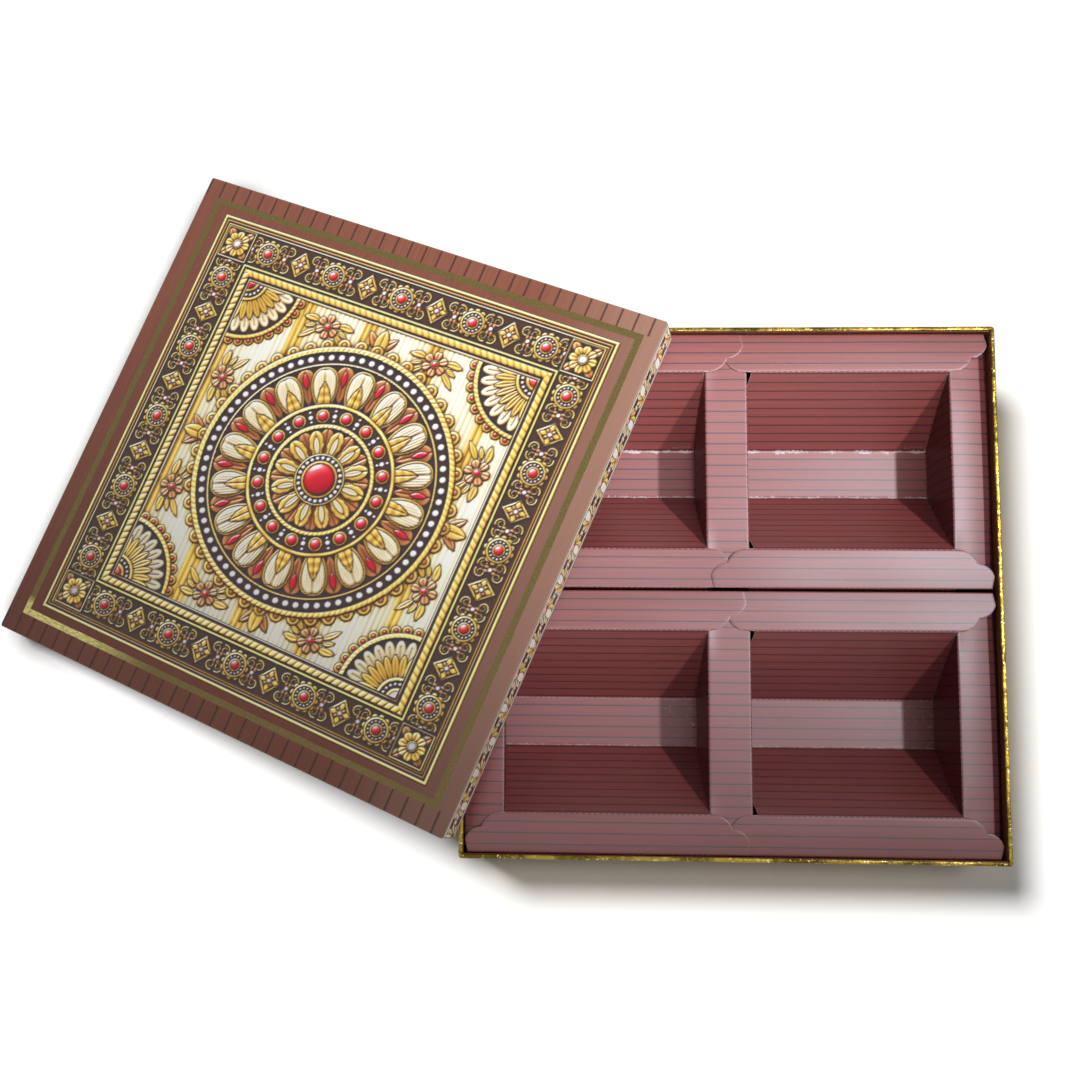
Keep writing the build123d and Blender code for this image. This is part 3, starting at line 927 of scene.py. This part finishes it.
def draw_band(half_length, half_height, pitch):
    """The gilded band on a side wall of the lid: sprays of leaves that point up and down in turn."""
    art = Relief(half_length, half_height, pitch)
    art.lay(art.x * 0 - far, "brown", 0.1, line=0, lift=0.1, detail=pin_stripe(art.x))
    unit = 15.5
    place = np.round(art.x / unit)
    near = art.x - place * unit
    up = np.where(place % 2 == 0, art.y, -art.y) + half_height - 2.4
    pearl = Round(art, unit / 2 - np.abs(near), art.y)
    pearl.disc(2.6, "gold", 0.5, 0.9, 1.2)
    pearl.disc(1.5, "pearl", 0.8, 0.9, 1.5)
    leaves = ((1.25, 7, 1.5, "gold"), (0.72, 10, 1.9, "copper"), (0.36, 12, 1.8, "gold"))
    for lean, length, width, tone in leaves:
        for side in (-1, 1):
            along = up * cos(lean) + side * near * sin(lean)
            middle = near * cos(lean) - side * up * sin(lean)
            leaf = petal(along, middle, 0.5, length, width)[0]
            art.lay(leaf, tone, 0.8, 0.9, 1.2, detail=groove(middle), lift=0.1)
    art.lay(petal(up, near, 0.5, 13.2, 2.3)[0], "cream", 1.2, 0.9, 1.5, detail=groove(near), lift=0.1)
    Round(art, near, up - 1.2).stone(1.5, "ruby", 1.8)
    for middle, half, tone in ((half_height - 0.7, 0.7, "gold"), (half_height - 1.9, 0.3, "cream")):
        art.lay(np.abs(np.abs(art.y) - middle) - half, tone, 1.8, 0.7, half, line=0.2, lift=0.1)
    return art


# The lid's place

def lid_pose():
    """Where the lid leans, with the origin at its top's centre.

    Its left edge is on the table, and its top board on the base's rear left corner.
    """
    along = (cos(lid_turn), sin(lid_turn))
    reach = (-base_half - lid_corner[0]) * along[0] + (base_half_y - lid_corner[1]) * along[1]
    inner_height = lid_height - lid_top_ply
    lean = acos(inner_height / hypot(reach, base_height)) - atan2(reach, base_height)
    turned = Matrix.Translation((*lid_corner, lid_lean_gap)) @ Matrix.Rotation(lid_turn, 4, "Z")
    leaned = turned @ Matrix.Rotation(-lean, 4, "Y")
    return leaned @ Matrix.Translation((lid_half, lid_half, lid_height))


def placed(points, pose):
    """Points turned and moved from the lid's own frame to its place."""
    return points @ np.array(pose.to_3x3()).T + np.array(pose.translation)


def lid_places(s, pose):
    """Lid-local millimetres in a material."""
    inputs = {
        "Vector": s.places(),
        "Location": pose.translation * MM,
        "Rotation": pose.to_euler("XYZ"),
        "Scale": (MM, MM, MM),
    }
    return s.add("Mapping", inputs, vector_type="TEXTURE")


# The base's foil wrap

def foil_profile():
    """The wrap's section, as (distance from the box's middle, height, share of the wave that it follows)."""
    high = base_height
    outer = [(base_half, z, 0.25 + 0.75 * z / high) for z in np.linspace(0.2, high - rim_rounds[0], 14)]
    rim = []
    for side, radius in zip((1, -1), rim_rounds):
        turns = np.linspace(0, pi / 2, 6)[::side]
        middle = base_half - base_wall / 2 + side * (base_wall / 2 - radius)
        rim += [(middle + side * radius * cos(a), high - radius + radius * sin(a), 1.0) for a in turns]
    inner = [(base_half - base_wall, z, 0.5) for z in (high - 2, high - 6, high - base_turn_in)]
    inside = base_half - base_wall + foil_ply
    under = [(inside, high - base_turn_in, 0.5), (inside, high - foil_ply, 0.5)]
    under += [(base_half - foil_ply, high - foil_ply, 0.5), (base_half - foil_ply, 2 * foil_ply, 0.2)]
    under += [(base_half - bottom_flap, 2 * foil_ply, 0), (base_half - bottom_flap, foil_ply, 0)]
    return outer + rim + inner + under


def make_foil_wrap(material):
    """Foil paper over the outside of the base, over its rim and down inside, a little wavy along the rim."""
    spots = []
    for quarter in range(4):
        turn = quarter * pi / 2
        normal, along = (cos(turn), sin(turn)), (-sin(turn), cos(turn))
        spots += [(normal, along, run, 0.0) for run in np.linspace(-1, 1, 130)]
        spots += [(normal, along, 1.0, bend) for bend in np.linspace(0, pi / 2, 7)[1:-1]]
    normal, along, run, bend = (np.array(part) for part in zip(*spots))
    corner = np.cos(bend)[:, None] * normal + np.sin(bend)[:, None] * along
    count = len(spots)
    position = np.arange(count) * 2 * pi / count
    wave = 0.03 * np.sin(23 * position) * np.cos(9 * position) + 0.02 * np.sin(61 * position + 1) - 0.05
    wave *= 1 - np.abs(run) ** 8
    bump = 0.03 * np.sin(31 * position + 0.6) * np.sin(13 * position) + 0.015 * np.sin(97 * position) - 0.045
    rings = []
    for reach, height, share in foil_profile():
        radius = max(corner_round - (base_half - reach), 0.02)
        flat = reach - radius
        places = flat * normal + run[:, None] * flat * along + radius * corner
        places *= 1 + (share * wave / base_half)[:, None]
        rise = bump * smooth(base_height - 3, base_height - 0.5, height)
        rings.append(np.column_stack([places, height + rise]))
    points, faces = np.concatenate(rings), ring_faces(len(rings), count)
    piece = make_mesh("base_foil_wrap", points, faces, "base", [material], closed_by=("base_wrap",))


# Foil and printed papers

def gold_foil():
    """Gold foil paper, finely creased, with painted shade where the creases turn away and pale flecks as
    painted glints. Its rim is painted a darker olive gold than its walls: painted shade for dark
    reflections.
    """
    s = Shader("gold_foil_paper")
    places = s.places()
    crinkle = s.noise(places, 210, 4, 0.6)
    broad = s.noise(places, 60, 4, 0.6)
    speck = s.noise(places, 700, 3, 0.65)
    wall = s.step(s.separate(places)[2], (base_height - 0.5) * MM, (base_height - 2.5) * MM)
    # The rim is painted darker and more olive than the walls below it: painted shade for dark reflections
    rim = s.mix(s.step(broad, 0.36, 0.62), (84, 68, 24), (140, 118, 48))
    side = s.mix(s.step(broad, 0.3, 0.7), (150, 120, 46), (192, 160, 76))
    colour = s.tint(
        s.mix(wall, rim, side),
        # Pale flecks: painted glints
        (s.step(speck, 0.58, 0.7), (224, 208, 136)),
        # Painted shade where the crinkles turn away, stronger on the rim
        (s.step(crinkle, 0.48, 0.36) * (wall * -0.3 + 0.6), (56, 42, 16)),
    )
    return s.surface(
        Base_Color=colour,
        Metallic=1.0,
        Roughness=s.span(crinkle, 0.22, 0.36),
        Normal=s.bump(crinkle + broad * 1.6, 0.4),
    )


def striped_lining():
    """Brown lining paper with thin dark level lines."""
    s = Shader("striped_lining_paper")
    x, y, z = (part / MM for part in s.separate(s.places()))
    streak = s.noise((x * 0.02, y * 0.02, z), 1.0, 4)
    colour = s.tint(
        s.mix(s.step(streak, 0.3, 0.7), (104, 56, 44), (128, 74, 58)),
        (s.step(s.repeat(z, line_pitch), 0.07, 0.035) * 0.75, (50, 28, 28)),
    )
    return s.surface(Base_Color=colour, Roughness=0.42, Specular_IOR_Level=0.5, Normal=s.bump(streak, 0.04))


def lid_print(pose):
    """The lid's printed paper: satin brown with thin dark lines that stop at the foil frame, and a painted
    sheen that makes its right side lighter.
    """
    s = Shader("lid_print_paper")
    u, v, w = s.separate(lid_places(s, pose))
    streak = s.noise((u * 0.9, v * 0.015, w), 1.0, 4)
    fine = s.noise((u * 4.0, v * 0.05, w), 1.0, 3)
    fibre = s.noise((u, v, w), 2.2, 4, 0.7)
    cloud = s.noise((u, v, w), 0.02, 2)
    wobble = s.noise((u, v * 0.4, w), 1.0, 2)
    from_foil = [abs(part - lid_foil_centre[i]) - lid_foil_half[i] for i, part in enumerate((u, v))]
    place = s.repeat(u, lid_line_pitch, 0.5 - lid_line_start / lid_line_pitch)
    edge = lid_foil_width / 2
    line = s.step(place - s.span(wobble, 0.03, 0.05), 0.045, 0.0)
    line *= s.step(from_foil[1], edge - 0.3, edge + 0.1)
    # The top's folded edges are paler, in patches
    folds = [s.step(abs(part), lid_half - 0.9, lid_half - 0.1) for part in (u, v)]
    pale_fold_edges = s.larger(*folds) * s.step(w, -0.9, -0.1) * s.step(fibre, 0.4, 0.62)
    colour = s.tint(
        s.mix(s.step(streak, 0.25, 0.75), (120, 70, 54), (138, 84, 66)),
        (s.step(fine, 0.35, 0.75) * 0.3, (148, 94, 76)),
        (s.step(cloud, 0.35, 0.7) * 0.3, (122, 70, 56)),
        # Painted sheen: the lid's right side is lighter
        (s.step(u, 60.0, 124.0) * 0.45, (178, 146, 128)),
        (s.step(s.larger(*from_foil), 0.0, -0.5) * 0.35, (108, 62, 48)),
        (line * 0.8, (52, 32, 30)),
        (pale_fold_edges * 0.45, (188, 150, 128)),
    )
    return s.surface(
        Base_Color=colour,
        Roughness=s.span(fibre, 0.38, 0.44),
        Specular_IOR_Level=0.35,
        Normal=s.bump(fibre, 0.03),
    )


def ornament_print(name, shine):
    """Printed ornament whose gilt parts are foil that glints."""
    s = Shader(name)
    gilt = s.attribute("gilt")
    grain = s.noise(s.places(), 900, 3, 0.6)
    sparkle = s.noise(s.places(), 260, 3, 0.6)
    glint = s.step(sparkle, 0.5, 0.7) * (gilt * 0.22)
    return s.surface(
        Base_Color=s.mix(glint, s.attribute("paint", "Color"), (255, 232, 140)),
        Metallic=gilt * shine,
        Roughness=s.span(grain, 0.36, 0.48) - gilt * 0.08,
        Normal=s.bump(grain + sparkle, 0.05),
    )


def frame_foil(pose):
    """The foil line round the picture: dull mottled olive gold, with glints near the front left corner."""
    s = Shader("lid_frame_foil")
    places = lid_places(s, pose)
    u, v, w = s.separate(places)
    crinkle = s.noise(places, 0.6, 4, 0.6)
    mottle = s.noise(places, 1.7, 4, 0.7)
    fleck = s.noise((u * 0.4, v, w), 1.1, 3, 0.6)
    glint = s.span(fleck, 0.3, 1.0) * (s.step(v, -104.0, -109.0) * s.step(u, -36.0, -86.0))
    colour = s.tint(
        s.mix(s.step(mottle, 0.3, 0.7), (88, 74, 40), (128, 110, 64)),
        (glint, (214, 204, 130)),
        (s.step(mottle, 0.62, 0.72) * 0.4, (100, 66, 46)),
    )
    return s.surface(
        Base_Color=colour,
        Metallic=glint * 0.35 + 0.6,
        Roughness=s.span(crinkle, 0.3, 0.46),
        Normal=s.bump(crinkle, 0.12),
    )


# The lid's ornament as thin raised sheets

def lid_sheet(name, art, place, glow, pose, material):
    """A sheet of ornament on the lid. place turns its own x, y and height into lid places."""
    height = paper_lift + relief_rise * art.height
    height[[0, -1]] = -paper_lift
    height[:, [0, -1]] = -paper_lift
    points = np.stack([np.ravel(part) for part in place(art.x, art.y, height)], -1)
    # glow scales the paint up: painted light, kept below white
    paint = np.minimum(linear(art.colours()) * glow, 0.94).reshape(-1, 3)
    gilt = (art.tone == tone_names.index("gold")) & (art.ink < 0.4)
    fields = {"paint": np.column_stack([paint, np.ones(len(paint))]), "gilt": gilt.ravel()}
    piece = make_mesh(name, placed(points, pose), grid_faces(*art.x.shape), "lid", [material], fields)
    layer = piece.data.uv_layers.new(name="OFBake")
    flat = np.stack([art.x.ravel(), art.y.ravel()], -1) / (2 * max(art.x.max(), art.y.max())) + 0.5
    loops = np.zeros(len(piece.data.loops), np.int32)
    piece.data.loops.foreach_get("vertex_index", loops)
    layer.data.foreach_set("uv", flat[loops].astype(np.float32).ravel())


def foil_frame(pose, material):
    """The narrow foil line round the picture, its edges a little uneven."""
    corners = np.array([(-1, -1), (1, -1), (1, 1), (-1, 1), (-1, -1)])
    steps = 240
    around = np.arange(4 * steps) / steps
    lap = around.astype(int)
    path = corners[lap] + (around - lap)[:, None] * (corners[lap + 1] - corners[lap])
    edge = lid_foil_width / 2
    low, high = -0.05, 0.04
    rings = []
    section = ((-edge, low, 1), (-edge, high, 1), (0, high, 0), (edge, high, 1), (edge, low, 1))
    for offset, lift, rough in section:
        ripple = 0.07 * np.sin(37 * around + offset) + 0.05 * np.sin(101 * around + 2 * offset)
        grow = offset + rough * ripple * np.abs(np.sin(pi * around)) ** 0.3
        flat = lid_foil_centre + (np.array(lid_foil_half) + grow[:, None]) * path
        rings.append(np.column_stack([flat, np.full(len(path), lift)]))
    points = placed(np.concatenate(rings), pose)
    faces = ring_faces(len(rings), len(path))[:-len(path), [0, 3, 2, 1]]
    piece = make_mesh("lid_foil_frame", points, faces, "lid", [material])
    piece.data.polygons.foreach_set("use_smooth", np.zeros(len(piece.data.polygons), bool))


def make_ornament(pose):
    def on_top(x, y, z):
        return x + lid_picture_centre[0], y + lid_picture_centre[1], z

    picture = draw_picture(ornament_pitch)
    band = draw_band(lid_half - 1.2, lid_height / 2 - 1, ornament_pitch)
    lid_sheet("lid_picture", picture, on_top, picture_painted_light, pose, ornament_print("lid_picture_print", 0.4))
    printed = ornament_print("lid_band_print", 0.1)
    for side, word in ((1, "right"), (-1, "left")):
        def on_wall(x, y, z, side=side):
            return side * (lid_half + z), side * x, y - lid_height / 2
        lid_sheet(f"lid_{word}_band", band, on_wall, band_painted_light, pose, printed)
    foil_frame(pose, frame_foil(pose))


def dress_nodes(pose):
    """Gives the construction's own pieces their finish."""
    flecks = ((2400, 2), (0.66, 0.74), 0.5, (92, 86, 80))
    papers = {
        "greyboard": ((700, 6, 0.7), 0.35, (146, 138, 126), (176, 168, 154), 0.9, 0.12, flecks),
        "stay_tape": ((900, 6, 0.7), 0.35, (160, 122, 82), (186, 148, 104), 0.7, 0.06),
        "bottom_paper": ((1100, 5, 0.65), 0.35, (198, 190, 176), (214, 206, 193), 0.85, 0.05),
        "lid_lining_paper": ((1100, 5, 0.65), 0.35, (222, 216, 204), (238, 233, 224), 0.85, 0.05),
    }
    by_slot = {name: paper(name, *look) for name, look in papers.items()}
    by_slot["gold_foil_paper"] = gold_foil()
    by_slot["striped_lining_paper"] = striped_lining()
    by_slot["lid_print_paper"] = lid_print(pose)
    make_foil_wrap(by_slot["gold_foil_paper"])
    for part in frame["record"]["subparts"]:
        material = by_slot.get(part["material_slot"])
        if material is not None:
            mesh = frame["nodes"][part["node"]].data
            mesh.materials.clear()
            mesh.materials.append(material)


# Stage, lights and camera

def add_light(name, kind, power, place, aim, **settings):
    light = bpy.data.lights.new(name, kind)
    light.energy = power
    for key, value in settings.items():
        setattr(light, key, value)
    lamp = add_object(name, light)
    lamp.location = place
    lamp.rotation_euler = (Vector(aim) - Vector(place)).to_track_quat("-Z", "Y").to_euler()
    return lamp


def light_only(lamp, thing, state):
    """Lets a lamp light just one thing, or everything but that."""
    group = bpy.data.collections.new(lamp.name + "_receivers")
    group.objects.link(thing)
    group.collection_objects[0].light_linking.link_state = state
    lamp.light_linking.receiver_collection = group


def floor_material():
    """Pale paper that keeps the shadow, with a painted contact shadow beside the object, and fades to white.
    """
    s = Shader("floor_paper")

    def matt(level):
        return s.add("BsdfDiffuse", {"Color": (level, level, level, 1)})

    def glow(strength):
        return s.add("Emission", {"Strength": strength})

    # Ambient occlusion darkens the floor beside the object: a painted contact shadow
    occlusion = s.add("AmbientOcclusion", {"Distance": contact_shadow_reach}, "AO")
    close = s.step(occlusion, 0.55, 0.95) * (1 - contact_shadow_level) + contact_shadow_level
    near = s.add("MixShader", (close, glow(0.0), s.add("AddShader", (matt(0.9), glow(floor_lift)))))
    distance = s.add("VectorMath", (s.places(),), "Value", operation="LENGTH")
    shown = s.add("MixShader", (s.step(distance, fade_start, fade_end), near, glow(1.0)))
    both = s.add("MixShader", (s.seen_directly(), matt(0.8), shown))
    s.put(s.nodes["Material Output"], [("Surface", both)])
    return s.owner


def make_stage():
    """The floor with its own sun, and the white surround."""
    mesh = bpy.data.meshes.new("floor")
    corners = [(x * floor_reach, y * floor_reach, 0) for x, y in ((-1, -1), (1, -1), (1, 1), (-1, 1))]
    mesh.from_pydata(corners, [], [(0, 1, 2, 3)])
    mesh.materials.append(floor_material())
    floor = add_object("floor", mesh)
    sun = add_light("floor_light", "SUN", floor_sun_power, (0, 0, 0), floor_sun_way, angle=floor_sun_angle)
    light_only(sun, floor, "INCLUDE")

    world = Shader("studio", "worlds")
    bpy.context.scene.world = world.owner
    strength = world.seen_directly() * (1 - world_level) + world_level
    world.put(world.nodes["Background"], [("Color", (1, 1, 1, 1)), ("Strength", strength)])
    return floor


def make_lamps(floor):
    """The three lamps of the object. They leave the floor dark."""
    key = (0.577, 0.12, 1.23)
    beam = {"shadow_soft_size": 0.03, "spot_size": radians(30), "spot_blend": 1.0}
    wide = {"shadow_soft_size": 0.1, "spot_size": radians(36), "spot_blend": 1.0}
    for lamp in (
        add_light("key", "AREA", 4.6, key, (0.0, 0.0, 0.0), size=0.06),
        add_light("key_beam", "SPOT", 40, key, (-0.08, 0.22, 0.03), **beam),
        add_light("rear_beam", "SPOT", 43, (0.0, -0.35, 1.1), (-0.09, 0.31, 0.05), **wide),
    ):
        lamp.visible_camera = False
        light_only(lamp, floor, "EXCLUDE")


def make_camera():
    """The photograph's camera, fitted to the creases and corners of the box."""
    data = bpy.data.cameras.new("camera")
    data.sensor_width = sensor_width
    data.lens = focal_length * sensor_width / picture_side
    data.shift_x = (picture_side / 2 - picture_centre[0]) / picture_side
    data.shift_y = (picture_centre[1] - picture_side / 2) / picture_side
    camera = add_object("camera", data)
    turn = Euler([radians(angle) for angle in camera_turn], "XYZ").to_matrix().transposed()
    x, y, z = camera_place
    place = Vector((x, y, z + ledge_top)) * MM
    camera.matrix_world = Matrix.Translation(place) @ turn.to_4x4()
    bpy.context.scene.camera = camera


pose = lid_pose()
make_trays()
dress_nodes(pose)
make_ornament(pose)
make_lamps(make_stage())
make_camera()
bpy.context.scene.view_settings.view_transform = "Standard"
